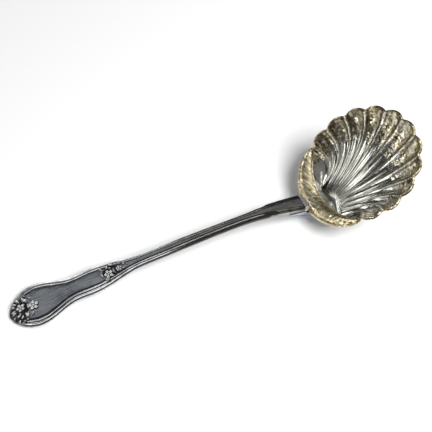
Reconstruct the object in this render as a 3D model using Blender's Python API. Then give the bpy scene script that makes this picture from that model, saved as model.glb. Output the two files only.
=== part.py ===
# Sugar sifter spoon: a fluted shell bowl soldered to a fiddle handle, as it lies on a table.
# Metres, +Z up, +X from the handle's tip to the bowl. The origin is the middle of the underside.
from math import cos, pi, radians, sin, sqrt

import bmesh
import bpy
from mathutils import Matrix, Vector
from mathutils.bvhtree import BVHTree

# Handle, measured from its tip
HANDLE_LENGTH = 0.1241
END_WIDTH = 0.0180
END_X = 0.0110
END_THICKNESS = 0.0022
WAIST_WIDTH = 0.0106
WAIST_X = 0.0268
WAIST_HEIGHT = 0.0051
SHOULDER_WIDTH = 0.0110
SHOULDER_X = 0.0335
STEM_WIDTH = 0.0048
STEM_THICKNESS = 0.0031
STEM_X = 0.0550
STEM_HEIGHT = 0.0086
NECK_WIDTH = 0.0042
NECK_X = 0.0950
CREST_X = 0.1030
CREST_HEIGHT = 0.0121
BOWL_END_WIDTH = 0.0073
BOWL_END_STEP = 0.0019
TIP_POINT = 1.8
TIP_FULLNESS = 0.62

# Double-thread border and the sunk panel inside it
THREAD_WIDTH = 0.0008
THREAD_GROOVE = 0.00025
PANEL_DEPTH = 0.0004
EDGE_ROUND = 0.0004

# Shell bowl, in the plane of its rim
LOBES = 11
FAN_ANGLE = radians(243)
RIM_RADIUS = 0.0241
HEEL_RADIUS = 0.0294
LOBE_BULGE = 0.0017
LOBE_RISE = 0.0010
BOWL_DEPTH = 0.0120
UMBO_SETBACK = 0.0214
UMBO_WIDTH = 0.0166
UMBO_LENGTH = 0.0043
UMBO_REAR = 0.0020
RIB_BOW = 0.0054
BOWL_TILT = radians(33.5)
WALL = 0.0011
LIP_WIDTH = 0.0073
LIP_RISE = 0.0021
LIP_DROP = 0.0028
HEEL_DROP = 0.0010
LIP_TURN = radians(150)
HEEL_CROWN = 1.5
TOE_CROWN = 1.75
HEEL_STEEPNESS = 0.85
TOE_STEEPNESS = 0.8
LIP_ONSET = 0.45
LIP_TAPER = 1.2
ARCH_FULLNESS = 0.7
SCALLOP_SHARPNESS = 8

# Heel strap and solder
STRAP_WIDTH = 0.0064
STRAP_LAP = 0.0066
TONGUE_LENGTH = 0.0125
TONGUE_TAPER = 0.0012
STRAP_THICKNESS = 0.0019
STRAP_EDGE = 0.0004
REST_LENGTH = 0.0066
JOINT_WIDTH = 0.0016
BEAD_RADIUS = 0.00045
BEAD_LEG = 0.0085
FIT_GAP = 0.0003
SEAT_REACH = 0.0005
NOSE_CUT = 0.0001

# Flower sprays on the handle
SPRAY_BASE = 0.0005
TIP_SPRAY_LENGTH = 0.0128
TIP_SPRAY_WIDTH = 0.0118
SHOULDER_SPRAY_LENGTH = 0.0124
SHOULDER_SPRAY_WIDTH = 0.0072
SHOULDER_SPRAY_X = 0.0370
SPRAY_INSET = 0.0005
FLOWER_RADIUS = 0.0024
FLOWER_HEIGHT = 0.0013
LEAF_HEIGHT = 0.0009

# Mesh divisions
FLUTE_STEPS = 6
HEEL_STEPS = 22
BOWL_ROWS = 12
LIP_ROWS = 6
SPRAY_COLUMNS = 32
SPRAY_RINGS = 8


def ease(share):
    share = min(max(share, 0.0), 1.0)
    return 0.5 - 0.5 * cos(pi * share)


def eased_through(stations, x):
    """A width that levels off at every station, so stations are its widest and narrowest places."""
    for (x0, v0), (x1, v1) in zip(stations, stations[1:]):
        if x <= x1:
            return v0 + (v1 - v0) * ease((x - x0) / (x1 - x0))
    return stations[-1][1]


def smooth_through(stations, x):
    """A cubic curve through the stations, with each slope taken from its two neighbours."""
    last = len(stations) - 1
    index = 0
    while index < last - 1 and x > stations[index + 1][0]:
        index += 1

    def slope(i):
        (x0, v0), (x1, v1) = stations[max(i - 1, 0)], stations[min(i + 1, last)]
        return (v1 - v0) / (x1 - x0)

    (x0, v0), (x1, v1) = stations[index], stations[index + 1]
    span = x1 - x0
    u = min(max((x - x0) / span, 0.0), 1.0)
    return (v0 * (2 * u**3 - 3 * u**2 + 1) + v1 * (3 * u**2 - 2 * u**3)
            + span * (slope(index) * (u**3 - 2 * u**2 + u) + slope(index + 1) * (u**3 - u**2)))


def make_material(name, colour, roughness):
    material = bpy.data.materials.new(name)
    material.use_nodes = True
    shader = material.node_tree.nodes["Principled BSDF"]
    shader.inputs["Base Color"].default_value = (*colour, 1.0)
    shader.inputs["Roughness"].default_value = roughness
    shader.inputs["Metallic"].default_value = 1.0
    return material


def add_object(name, mesh_builder, material, parent):
    """Turn a finished bmesh into a named, smooth-shaded object."""
    bmesh.ops.recalc_face_normals(mesh_builder, faces=mesh_builder.faces)
    mesh = bpy.data.meshes.new(name)
    mesh_builder.to_mesh(mesh)
    mesh_builder.free()
    mesh.shade_smooth()
    mesh.set_sharp_from_angle(angle=radians(40))
    mesh.materials.append(material)
    obj = bpy.data.objects.new(name, mesh)
    obj.parent = parent
    bpy.context.scene.collection.objects.link(obj)
    return obj


def add_grid(builder, rows, closed):
    """Join rows of points with quads, and return the rows of vertices."""
    made = [[builder.verts.new(point) for point in row] for row in rows]
    for lower, upper in zip(made, made[1:]):
        count = len(lower)
        for i in range(count if closed else count - 1):
            j = (i + 1) % count
            builder.faces.new((lower[i], lower[j], upper[j], upper[i]))
    return made


def weld(builder):
    bmesh.ops.remove_doubles(builder, verts=builder.verts, dist=1e-6)
    bmesh.ops.dissolve_degenerate(builder, edges=builder.edges, dist=1e-7)


# Shell bowl: its own axes run from the middle of the rim to the far lobe, sideways, and out of the rim

def heel_share(angle):
    """How far an angle round the rim lies past the fan of flutes: 0 on the fan, 1 behind the heel."""
    return max(abs(angle) - FAN_ANGLE / 2, 0.0) / (pi - FAN_ANGLE / 2)


def lip_fullness(angle):
    return max(sin(heel_share(angle) * pi / 2), 0.0) ** LIP_ONSET


def flute_arch(angle):
    """Height of the scallop arch, from 0 on a rib to 1 in the middle of a flute."""
    phase = (angle + FAN_ANGLE / 2) / FAN_ANGLE * LOBES
    return max(sin(pi * (phase % 1.0)), 0.0) ** ARCH_FULLNESS if heel_share(angle) == 0 else 0.0


def umbo_start(angle):
    """Where the wall starts: along the umbo's bow on the fan, round its end, and across behind it."""
    across = min(abs(angle) / (FAN_ANGLE / 2), 1.0)
    behind = ease((heel_share(angle) - 0.35) / 0.65)
    spread = across * (0.75 + 0.25 * across)
    forward = UMBO_LENGTH * (1 - 0.4 * spread - 0.6 * spread**2) + UMBO_REAR * behind
    side = UMBO_WIDTH / 2 * spread * (1 - behind)
    return forward - UMBO_SETBACK, side if angle > 0 else -side


def smooth_wall(angle, t):
    """Outside of the bowl without its flutes, from the umbo (t = 0) to the rim (t = 1)."""
    lip = lip_fullness(angle)
    radius = RIM_RADIUS + (HEEL_RADIUS - RIM_RADIUS) * lip
    toward_toe = 0.5 + 0.5 * cos(angle)
    crown = HEEL_CROWN + (TOE_CROWN - HEEL_CROWN) * toward_toe
    steepness = HEEL_STEEPNESS + (TOE_STEEPNESS - HEEL_STEEPNESS) * toward_toe
    start_s, start_w = umbo_start(angle)
    bow = RIB_BOW * abs(sin(angle)) * sin(pi * t) * (1 - lip)
    s = start_s + (radius * cos(angle) - start_s) * t + bow
    w = start_w + (radius * sin(angle) - start_w) * t
    h = -HEEL_DROP * lip * t - (BOWL_DEPTH - HEEL_DROP * lip * t) * (1 - t**crown) ** steepness
    return Vector((s, w, h))


def wall_normal(angle, t):
    """Outward normal of the smooth wall, eased to straight down at the umbo."""
    t = min(max(t, 0.02), 0.995)
    step = 0.004
    along = smooth_wall(angle, t + step) - smooth_wall(angle, t - step)
    around = smooth_wall(angle + step, t) - smooth_wall(angle - step, t)
    normal = along.cross(around).normalized()
    if normal.z > 0:
        normal.negate()
    return Vector((0, 0, -1)).lerp(normal, ease(t / 0.3)).normalized()


def bowl_point(angle, t, depth):
    """A point of the fluted wall, a given depth in from its outside."""
    arch = flute_arch(angle)
    point = smooth_wall(angle, t) + wall_normal(angle, t) * (LOBE_BULGE * arch * t - depth)
    return point + Vector((0, 0, LOBE_RISE * arch * t**SCALLOP_SHARPNESS))


def lip_point(angle, share, inside):
    """A point of the lip that rolls in over the heel, from the wall's top to the lip's free edge."""
    lip = lip_fullness(angle)
    skin = WALL if inside else 0.0
    turn = LIP_TURN * share
    inward = max(LIP_WIDTH * lip**LIP_TAPER - skin, 0.0) * (1 - cos(turn)) / (1 - cos(LIP_TURN))
    lift = lip * ((LIP_RISE - skin) * sin(turn) - LIP_DROP * share**2)
    return bowl_point(angle, 1.0, skin) + Vector((-inward * cos(angle), -inward * sin(angle), lift))


def build_bowl():
    fan_count = LOBES * FLUTE_STEPS
    fan = [-FAN_ANGLE / 2 + FAN_ANGLE * i / fan_count for i in range(fan_count + 1)]
    heel = [FAN_ANGLE / 2 + (2 * pi - FAN_ANGLE) * i / HEEL_STEPS for i in range(HEEL_STEPS + 1)]
    heel = [angle if angle <= pi else angle - 2 * pi for angle in heel]
    angles = fan + heel[1:-1]
    shares = [1 - (1 - (i + 0.5) / (BOWL_ROWS + 0.5)) ** 1.5 for i in range(BOWL_ROWS)] + [1.0]

    builder = bmesh.new()
    rims = []
    middle = (UMBO_LENGTH + UMBO_REAR) / 2 - UMBO_SETBACK
    for depth in (0.0, WALL):
        rows = [[bowl_point(angle, t, depth) for angle in angles] for t in shares]
        made = add_grid(builder, rows, closed=True)
        pole = builder.verts.new(Vector((middle, 0, depth - BOWL_DEPTH)))
        for i, vert in enumerate(made[0]):
            builder.faces.new((pole, vert, made[0][(i + 1) % len(angles)]))
        rims.append(made[-1])
    for i in range(fan_count):
        builder.faces.new((rims[0][i], rims[0][i + 1], rims[1][i + 1], rims[1][i]))

    lip_shares = [i / LIP_ROWS for i in range(LIP_ROWS + 1)]
    over = [[lip_point(angle, share, False) for angle in heel] for share in lip_shares]
    under = [[lip_point(angle, share, True) for angle in heel] for share in reversed(lip_shares)]
    add_grid(builder, over + under, closed=False)
    weld(builder)
    return builder


# Handle: a section swept along the arched middle line

def handle_stations(end_height):
    widths = [(END_X, END_WIDTH / 2), (WAIST_X, WAIST_WIDTH / 2), (SHOULDER_X, SHOULDER_WIDTH / 2),
              (STEM_X, STEM_WIDTH / 2), (NECK_X, NECK_WIDTH / 2), (HANDLE_LENGTH, BOWL_END_WIDTH / 2)]
    heights = [(0.0, END_THICKNESS / 2), (WAIST_X, WAIST_HEIGHT), (STEM_X, STEM_HEIGHT),
               (CREST_X, CREST_HEIGHT), (HANDLE_LENGTH, end_height)]
    depths = [(SHOULDER_X, END_THICKNESS), (STEM_X, STEM_THICKNESS), (HANDLE_LENGTH, STEM_THICKNESS)]
    return widths, heights, depths


def half_width(x, widths):
    if x < END_X:
        return END_WIDTH / 2 * (1 - (1 - x / END_X) ** TIP_POINT) ** TIP_FULLNESS
    return eased_through(widths, x)


def thickness(x, depths):
    return depths[0][1] if x < depths[0][0] else eased_through(depths, x)


def handle_section(x, stations):
    """Half of the section, from the middle of the top round to the middle of the bottom."""
    widths, heights, depths = stations
    half, middle = half_width(x, widths), smooth_through(heights, x)
    top, bottom = middle + thickness(x, depths) / 2, middle - thickness(x, depths) / 2
    thread = min(THREAD_WIDTH, 0.22 * half)
    sunk = PANEL_DEPTH * ease((2 * half - STEM_WIDTH) / (WAIST_WIDTH - STEM_WIDTH))
    edge = min(EDGE_ROUND, 0.3 * half)
    inner = half - edge - 2 * thread
    return [(0, top - sunk), (inner - thread / 2, top - sunk), (inner, top - 0.2 * THREAD_GROOVE),
            (inner + 0.5 * thread, top), (inner + thread, top - THREAD_GROOVE),
            (inner + 1.5 * thread, top), (half - 0.3 * edge, top - 0.4 * edge), (half, top - edge),
            (half, bottom + 2 * edge), (half - 0.6 * edge, bottom + 0.6 * edge), (half - 2 * edge, bottom),
            (0, bottom)]


def build_handle(stations):
    tip_steps, end_steps, stem_steps = 10, 34, 22
    xs = [END_X * (1 - cos(pi / 2 * (i + 0.35) / tip_steps)) for i in range(tip_steps)]
    xs += [END_X + (STEM_X - END_X) * i / end_steps for i in range(end_steps)]
    xs += [STEM_X + (HANDLE_LENGTH - STEM_X) * i / stem_steps for i in range(stem_steps + 1)]
    rows = []
    for x in xs:
        right = handle_section(x, stations)
        left = [(-y, z) for y, z in reversed(right[1:-1])]
        rows.append([Vector((x, y, z)) for y, z in right + left])
    builder = bmesh.new()
    made = add_grid(builder, rows, closed=True)
    builder.faces.new(made[0])
    builder.faces.new(made[-1])
    return builder


# Heel strap: seated under the stem's end and on the bowl's underside

def strap_half_width(x, rest_x):
    """Full width as far as the rest, then a tongue that narrows to a round nose."""
    beyond = max(x - rest_x, 0.0) / TONGUE_LENGTH
    return STRAP_WIDTH / 2 * sqrt(max(1 - beyond**3, 0.0))


def build_strap(stations, bowl_tree, rest_x):
    _, heights, depths = stations
    start, end = HANDLE_LENGTH - STRAP_LAP, rest_x + TONGUE_LENGTH - NOSE_CUT
    flat_start, flat_end = rest_x - REST_LENGTH / 2, rest_x + REST_LENGTH / 2

    def top_height(x, y):
        """Clear of the stem and of the lowest flute close by."""
        lowest = smooth_through(heights, min(x, HANDLE_LENGTH)) - thickness(x, depths) / 2
        for dx in (-SEAT_REACH, 0.0, SEAT_REACH):
            for dy in (-SEAT_REACH, 0.0, SEAT_REACH):
                hit = bowl_tree.ray_cast(Vector((x + dx, y + dy, -1.0)), Vector((0, 0, 1)))[0]
                lowest = min(lowest, hit.z) if hit else lowest
        return lowest - FIT_GAP

    def bottom_height(x):
        if x < flat_start:
            lift = top_height(start, 0) - STRAP_THICKNESS / 2
            return lift * (1 - ease((x - start) / (flat_start - start)))
        beyond = max(x - flat_end, 0.0) / (end - flat_end)
        return max(top_height(x, 0) - STRAP_THICKNESS + TONGUE_TAPER * beyond, 0.0) * ease(2 * beyond)

    steps, across = 44, (-1.0, -0.8, -0.5, -0.25, 0.0, 0.25, 0.5, 0.8, 1.0)
    upper, lower = [], []
    for i in range(steps + 1):
        x = start + (end - start) * sin(pi / 2 * i / steps)
        half = strap_half_width(x, rest_x)
        upper.append([Vector((x, share * half, top_height(x, share * half))) for share in across])
        lower.append([Vector((x, share * half, bottom_height(x) + STRAP_EDGE * (abs(share) == 1.0)))
                      for share in across])
    builder = bmesh.new()
    rows = [up + list(reversed(low)) for up, low in zip(upper, lower)]
    made = add_grid(builder, rows, closed=True)
    builder.faces.new(made[0])
    builder.faces.new(made[-1])
    return builder


def build_heel_solder(stations, bowl_tree, strap_top):
    """The bead between the stem's end face and the rolled lip."""
    _, heights, depths = stations
    middle = smooth_through(heights, HANDLE_LENGTH)
    low, high = strap_top + FIT_GAP, middle + STEM_THICKNESS / 2 - EDGE_ROUND
    back = HANDLE_LENGTH + FIT_GAP
    half = BOWL_END_WIDTH / 2 - EDGE_ROUND
    columns, levels = 10, 5
    near, far = [], []
    for j in range(levels + 1):
        z = low + (high - low) * j / levels
        near.append([])
        far.append([])
        for i in range(columns + 1):
            y = half * (2 * i / columns - 1)
            hit = bowl_tree.ray_cast(Vector((0, y, z)), Vector((1, 0, 0)))[0]
            swell = HANDLE_LENGTH + JOINT_WIDTH * (1 + 0.5 * sqrt(1 - (j / levels) ** 2))
            near[-1].append(Vector((back, y, z)))
            far[-1].append(Vector((min(hit.x - FIT_GAP, swell) if hit else swell, y, z)))
    builder = bmesh.new()
    rows = [back_row + list(reversed(front_row)) for back_row, front_row in zip(near, far)]
    made = add_grid(builder, rows, closed=True)
    builder.faces.new(made[0])
    builder.faces.new(made[-1])
    return builder


# Flower sprays: relief that stands on the handle's thread border

def petals_round(x, y, radius, count, start):
    """Petals of one flower as (x, y, half length, half width, direction, height)."""
    petals = [(x, y, 0.36 * radius, 0.36 * radius, 0.0, FLOWER_HEIGHT)]
    for i in range(count):
        turn = start + 2 * pi * i / count
        petals.append((x + 0.62 * radius * cos(turn), y + 0.62 * radius * sin(turn),
                       0.5 * radius, 0.42 * radius, turn, 0.8 * FLOWER_HEIGHT))
    return petals


def relief_height(x, y, petals):
    height = SPRAY_BASE
    for px, py, length, width, turn, tall in petals:
        along = ((x - px) * cos(turn) + (y - py) * sin(turn)) / length
        aside = ((y - py) * cos(turn) - (x - px) * sin(turn)) / width
        height = max(height, tall * sqrt(max(1 - along**2 - aside**2, 0.0)))
    return height


def build_spray(middle_x, outline, petals, stations):
    """A closed relief whose outline is a function from a direction to a point beside the middle."""
    _, heights, depths = stations

    def floor_height(x):
        return smooth_through(heights, x) + thickness(x, depths) / 2 + FIT_GAP

    upper, lower = [], []
    for ring in range(1, SPRAY_RINGS + 1):
        share = ring / SPRAY_RINGS
        upper.append([])
        lower.append([])
        for i in range(SPRAY_COLUMNS):
            dx, dy = outline(2 * pi * i / SPRAY_COLUMNS)
            x, y = middle_x + share * dx, share * dy
            lower[-1].append(Vector((x, y, floor_height(x))))
            upper[-1].append(Vector((x, y, floor_height(x) + relief_height(x, y, petals))))
    builder = bmesh.new()
    made = add_grid(builder, upper + list(reversed(lower)), closed=True)
    for ring, tall in ((made[0], relief_height(middle_x, 0, petals)), (made[-1], 0.0)):
        pole = builder.verts.new(Vector((middle_x, 0, floor_height(middle_x) + tall)))
        for i, vert in enumerate(ring):
            builder.faces.new((pole, vert, ring[(i + 1) % SPRAY_COLUMNS]))
    return builder


def build_tip_spray(stations):
    middle = TIP_SPRAY_LENGTH / 2
    flower_x = TIP_SPRAY_LENGTH - FLOWER_RADIUS

    def outline(turn):
        reach = middle - SPRAY_INSET
        x = reach * cos(turn)
        fit = half_width(middle + x, stations[0]) - SPRAY_INSET
        wide = TIP_SPRAY_WIDTH / 2 if x < 0 else TIP_SPRAY_WIDTH / 2 * (1 - 0.45 * (x / reach) ** 2)
        return x, min(wide, fit) * sin(turn)

    petals = petals_round(flower_x, 0.0, FLOWER_RADIUS, 5, 0.0)
    for i in range(5):
        turn = pi + radians(36) * (i - 2)
        petals.append((middle + 0.5 * middle * cos(turn), 0.42 * TIP_SPRAY_WIDTH * sin(turn),
                       0.36 * middle, 0.2 * middle, turn, LEAF_HEIGHT))
    return build_spray(middle, outline, petals, stations)


def build_shoulder_spray(stations):
    middle = SHOULDER_SPRAY_X + SHOULDER_SPRAY_LENGTH / 2

    def outline(turn):
        x = SHOULDER_SPRAY_LENGTH / 2 * cos(turn)
        fit = half_width(middle + x, stations[0]) - SPRAY_INSET
        return x, min(SHOULDER_SPRAY_WIDTH / 2, fit) * sin(turn)

    petals = petals_round(SHOULDER_SPRAY_X + FLOWER_RADIUS + SPRAY_INSET, 0.0, FLOWER_RADIUS, 5, pi)
    petals += petals_round(middle + 0.4 * FLOWER_RADIUS, 0.0, 0.6 * FLOWER_RADIUS, 5, 0.0)
    petals.append((middle + 1.7 * FLOWER_RADIUS, 0.0, 0.7 * FLOWER_RADIUS, 0.3 * FLOWER_RADIUS, 0.0,
                   LEAF_HEIGHT))
    return build_spray(middle, outline, petals, stations)


def add_strap_solder(bowl_tree, rest_x, material, parent):
    """The bead round the strap's tongue, a tube on the bowl's underside."""
    aside = FIT_GAP + BEAD_RADIUS
    leg_steps, nose_steps = 8, 10
    nose = [rest_x + TONGUE_LENGTH * sin(pi / 2 * i / nose_steps) for i in range(nose_steps)]
    leg = [rest_x - BEAD_LEG * (1 - i / leg_steps) for i in range(leg_steps)]
    side = [(x + aside * (x > rest_x), strap_half_width(x, rest_x) + aside) for x in leg + nose]
    path = [(x, -y) for x, y in side] + [(rest_x + TONGUE_LENGTH + aside, 0)] + list(reversed(side))
    curve = bpy.data.curves.new("strap_solder", "CURVE")
    curve.dimensions = "3D"
    curve.bevel_depth = BEAD_RADIUS
    curve.bevel_resolution = 2
    curve.use_fill_caps = True
    spline = curve.splines.new("POLY")
    spline.points.add(len(path) - 1)
    for point, (x, y) in zip(spline.points, path):
        hit = bowl_tree.ray_cast(Vector((x, y, -1.0)), Vector((0, 0, 1)))[0]
        point.co = (x, y, hit.z - FIT_GAP - 1.25 * BEAD_RADIUS, 1.0)
    curve.materials.append(material)
    obj = bpy.data.objects.new("strap_solder", curve)
    obj.parent = parent
    bpy.context.scene.collection.objects.link(obj)


def main():
    for obj in list(bpy.data.objects):
        bpy.data.objects.remove(obj)
    silver = make_material("aged_silver", (0.50, 0.50, 0.49), 0.28)
    gilt = make_material("worn_gilt", (0.56, 0.48, 0.29), 0.30)
    solder = make_material("silver_solder", (0.62, 0.61, 0.58), 0.35)

    # The tilted bowl stands on the strap, and its heel meets the joint at the stem's end
    bowl = build_bowl()
    turned = Matrix.Rotation(-BOWL_TILT, 3, "Y")
    corners = [turned @ vert.co for vert in bowl.verts]
    heel = min(corners, key=lambda corner: corner.x)
    heel_x = HANDLE_LENGTH + JOINT_WIDTH
    bowl_place = Vector((heel_x - heel.x, 0, STRAP_THICKNESS + FIT_GAP - min(c.z for c in corners)))
    overall_length = bowl_place.x + max(corner.x for corner in corners)
    stations = handle_stations(bowl_place.z + heel.z + BOWL_END_STEP)

    spoon = bpy.data.objects.new("spoon", None)
    spoon.location = (-overall_length / 2, 0, 0)
    bpy.context.scene.collection.objects.link(spoon)

    placed = bowl.copy()
    placed.transform(Matrix.Translation(bowl_place) @ turned.to_4x4())
    bowl_tree = BVHTree.FromBMesh(placed)
    rest_x = min(placed.verts, key=lambda vert: vert.co.z).co.x
    placed.free()
    shell = add_object("shell_bowl", bowl, gilt, spoon)
    shell.location = bowl_place
    shell.rotation_euler = (0, -BOWL_TILT, 0)

    strap = build_strap(stations, bowl_tree, rest_x)
    strap_top = max(vert.co.z for vert in strap.verts if vert.co.x >= HANDLE_LENGTH)
    add_object("handle", build_handle(stations), silver, spoon)
    add_object("heel_strap", strap, silver, spoon)
    add_object("heel_solder", build_heel_solder(stations, bowl_tree, strap_top), solder, spoon)
    add_object("tip_spray", build_tip_spray(stations), silver, spoon)
    add_object("shoulder_spray", build_shoulder_spray(stations), silver, spoon)
    add_strap_solder(bowl_tree, rest_x, solder, spoon)


main()
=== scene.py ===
# Silver sugar spoon with a gilt shell bowl: its looks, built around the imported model
from math import cos, exp, pi, radians, sin, tan

import bpy
import numpy as np
from mathutils import Matrix, Vector, noise


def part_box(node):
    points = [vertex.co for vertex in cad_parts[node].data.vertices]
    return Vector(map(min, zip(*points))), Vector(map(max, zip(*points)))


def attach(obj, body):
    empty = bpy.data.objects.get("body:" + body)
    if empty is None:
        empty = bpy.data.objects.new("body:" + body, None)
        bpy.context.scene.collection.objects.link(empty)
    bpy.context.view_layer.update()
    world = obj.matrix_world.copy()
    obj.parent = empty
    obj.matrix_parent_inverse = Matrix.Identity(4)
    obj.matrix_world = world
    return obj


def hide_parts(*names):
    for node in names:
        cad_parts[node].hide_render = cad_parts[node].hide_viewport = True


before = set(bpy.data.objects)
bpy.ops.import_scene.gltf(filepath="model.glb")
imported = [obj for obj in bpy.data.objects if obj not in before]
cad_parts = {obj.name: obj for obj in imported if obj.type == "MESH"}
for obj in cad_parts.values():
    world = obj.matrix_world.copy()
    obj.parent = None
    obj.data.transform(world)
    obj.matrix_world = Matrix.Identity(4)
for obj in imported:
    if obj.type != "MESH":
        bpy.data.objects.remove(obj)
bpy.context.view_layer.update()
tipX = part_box("handle")[0].x  # everything along the spoon is measured from the handle's tip
millimetre = 0.001


# small helpers

def ease(share):
    share = min(max(share, 0.0), 1.0)
    return 0.5 - 0.5 * cos(pi * share)


def ramp(value, start, span):
    return ease((value - start) / span)


def hill(value, middle, width):
    return exp(-(((value - middle) / width) ** 2))


def clearSelection():
    bpy.ops.object.select_all(action="DESELECT")


def choose(piece):
    clearSelection()
    piece.select_set(True)
    bpy.context.view_layer.objects.active = piece


def applyModifier(piece, kind, **settings):
    choose(piece)
    modifier = piece.modifiers.new(kind.lower(), kind)
    for name, value in settings.items():
        setattr(modifier, name, value)
    bpy.ops.object.modifier_apply(modifier=modifier.name)


def mergePoints(piece, distance=1e-6):
    choose(piece)
    bpy.ops.object.mode_set(mode="EDIT")
    bpy.ops.mesh.select_all(action="SELECT")
    bpy.ops.mesh.remove_doubles(threshold=distance)
    bpy.ops.mesh.normals_make_consistent(inside=False)
    bpy.ops.object.mode_set(mode="OBJECT")


def closeEnds(piece):
    choose(piece)
    bpy.ops.object.mode_set(mode="EDIT")
    bpy.ops.mesh.select_all(action="DESELECT")
    bpy.ops.mesh.select_mode(type="EDGE")
    bpy.ops.mesh.select_non_manifold(use_wire=False, use_multi_face=False,
                                     use_non_contiguous=False, use_verts=False)
    bpy.ops.mesh.fill()
    bpy.ops.mesh.select_all(action="SELECT")
    bpy.ops.mesh.normals_make_consistent(inside=False)
    bpy.ops.object.mode_set(mode="OBJECT")


def sheetPiece(name, columns, rows, place):
    # a flat grid whose points are then placed by column and row, and whose marks become attributes
    clearSelection()
    bpy.ops.mesh.primitive_grid_add(x_subdivisions=columns, y_subdivisions=rows, size=2)
    piece = bpy.context.object
    piece.name = piece.data.name = name
    marks = {}
    for vertex in piece.data.vertices:
        column = round((vertex.co.x + 1) / 2 * columns)
        row = round((vertex.co.y + 1) / 2 * rows)
        vertex.co, values = place(column, row)
        for mark, value in values.items():
            marks.setdefault(mark, []).append(value)
    for mark, values in marks.items():
        piece.data.attributes.new(mark, "FLOAT", "POINT").data.foreach_set("value", values)
    return piece


def finishPiece(piece, nodeName, angle):
    choose(piece)
    bpy.ops.object.shade_smooth_by_angle(angle=radians(angle))
    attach(piece, "root")
    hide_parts(nodeName)
    print("piece", piece.name, "faces", len(piece.data.polygons))


# shader helpers

def addNode(tree, kind, **settings):
    made = tree.nodes.new(kind)
    for name, value in settings.items():
        if name in made.inputs:
            made.inputs[name].default_value = value
        else:
            setattr(made, name, value)
    return made


def feed(tree, socket, value):
    # a socket takes another node's output or a plain value
    if hasattr(value, "links"):
        tree.links.new(value, socket)
    else:
        socket.default_value = value


def mixColours(tree, share, first, second):
    made = addNode(tree, "ShaderNodeMix", data_type="RGBA")
    for place, value in ((0, share), (6, first), (7, second)):  # the mix node's share and its two colours
        feed(tree, made.inputs[place], value)
    return made.outputs[2]


def remap(tree, value, low, high, start=0.0, end=1.0):
    made = addNode(tree, "ShaderNodeMapRange", interpolation_type="SMOOTHSTEP")
    tree.links.new(value, made.inputs["Value"])
    for name, number in (("From Min", low), ("From Max", high), ("To Min", start), ("To Max", end)):
        made.inputs[name].default_value = number
    return made.outputs["Result"]


def maths(tree, operation, first, second):
    made = addNode(tree, "ShaderNodeMath", operation=operation, use_clamp=operation == "ADD")
    for socket, value in zip(made.inputs, (first, second)):
        feed(tree, socket, value)
    return made.outputs[0]


def noiseField(tree, scale, detail=3.0, stretch=(1, 1, 1), turn=0.0):
    where = addNode(tree, "ShaderNodeTexCoord")
    mapping = addNode(tree, "ShaderNodeMapping", vector_type="TEXTURE", Scale=stretch, Rotation=(0, 0, turn))
    field = addNode(tree, "ShaderNodeTexNoise", Scale=scale, Detail=detail)
    tree.links.new(where.outputs["Object"], mapping.inputs["Vector"])
    tree.links.new(mapping.outputs["Vector"], field.inputs["Vector"])
    return field.outputs["Fac"]


def markField(tree, name):
    return addNode(tree, "ShaderNodeAttribute", attribute_name=name).outputs["Fac"]


def newGroup(name, inputs, outputs):
    tree = bpy.data.node_groups.new(name, "ShaderNodeTree")
    for socketName, kind in inputs:
        tree.interface.new_socket(name=socketName, in_out="INPUT", socket_type=kind)
    for socketName, kind in outputs:
        tree.interface.new_socket(name=socketName, in_out="OUTPUT", socket_type=kind)
    return tree, tree.nodes.new("NodeGroupInput"), tree.nodes.new("NodeGroupOutput")


# wear that every silver surface shares: tarnish in the hollows, which on the bowl and the handle also
# carries painted shade, rubbed patches and hairline scratches
wear = {
    "patchScale": 260.0,
    "patchDetail": 4.0,
    "patchRange": (0.45, 0.75),
    "patchDark": 0.25,
    "speckScale": 1900.0,
    "speckDetail": 2.0,
    "speckRange": (0.55, 0.75),
    "scratchScale": 900.0,
    "scratchDetail": 2.0,
    "scratchStretch": (20.0, 0.6, 1.0),
    "scratchRange": (0.40, 0.62),
    "roughRange": (0.3, 0.7),  # of the patches
    "roughness": (0.07, 0.18),
    "hollowRoughness": 0.2,
}


def makeWearAndShadeGroup():
    tree, inside, outside = newGroup(
        "silverWearAndShade",
        [("Bright", "NodeSocketColor"), ("TarnishAndShade", "NodeSocketColor"), ("Hollow", "NodeSocketFloat"),
         ("Specks", "NodeSocketFloat"), ("Hairlines", "NodeSocketFloat")],
        [("Color", "NodeSocketColor"), ("Roughness", "NodeSocketFloat"), ("Scratches", "NodeSocketFloat")])
    patches = noiseField(tree, wear["patchScale"], wear["patchDetail"])
    specks = noiseField(tree, wear["speckScale"], wear["speckDetail"])
    scratches = noiseField(tree, wear["scratchScale"], wear["scratchDetail"], wear["scratchStretch"])
    hairlines = remap(tree, scratches, *wear["scratchRange"])
    dark = maths(tree, "MULTIPLY", remap(tree, specks, *wear["speckRange"]), inside.outputs["Specks"])
    dark = maths(tree, "ADD", dark, maths(tree, "MULTIPLY", hairlines, inside.outputs["Hairlines"]))
    dark = maths(tree, "ADD", dark, remap(tree, patches, *wear["patchRange"], 0.0, wear["patchDark"]))
    dark = maths(tree, "ADD", dark, inside.outputs["Hollow"])
    colour = mixColours(tree, dark, inside.outputs["Bright"], inside.outputs["TarnishAndShade"])
    rough = maths(tree, "ADD", remap(tree, patches, *wear["roughRange"], *wear["roughness"]),
                  maths(tree, "MULTIPLY", inside.outputs["Hollow"], wear["hollowRoughness"]))
    tree.links.new(colour, outside.inputs["Color"])
    tree.links.new(rough, outside.inputs["Roughness"])
    tree.links.new(hairlines, outside.inputs["Scratches"])
    return tree


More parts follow.
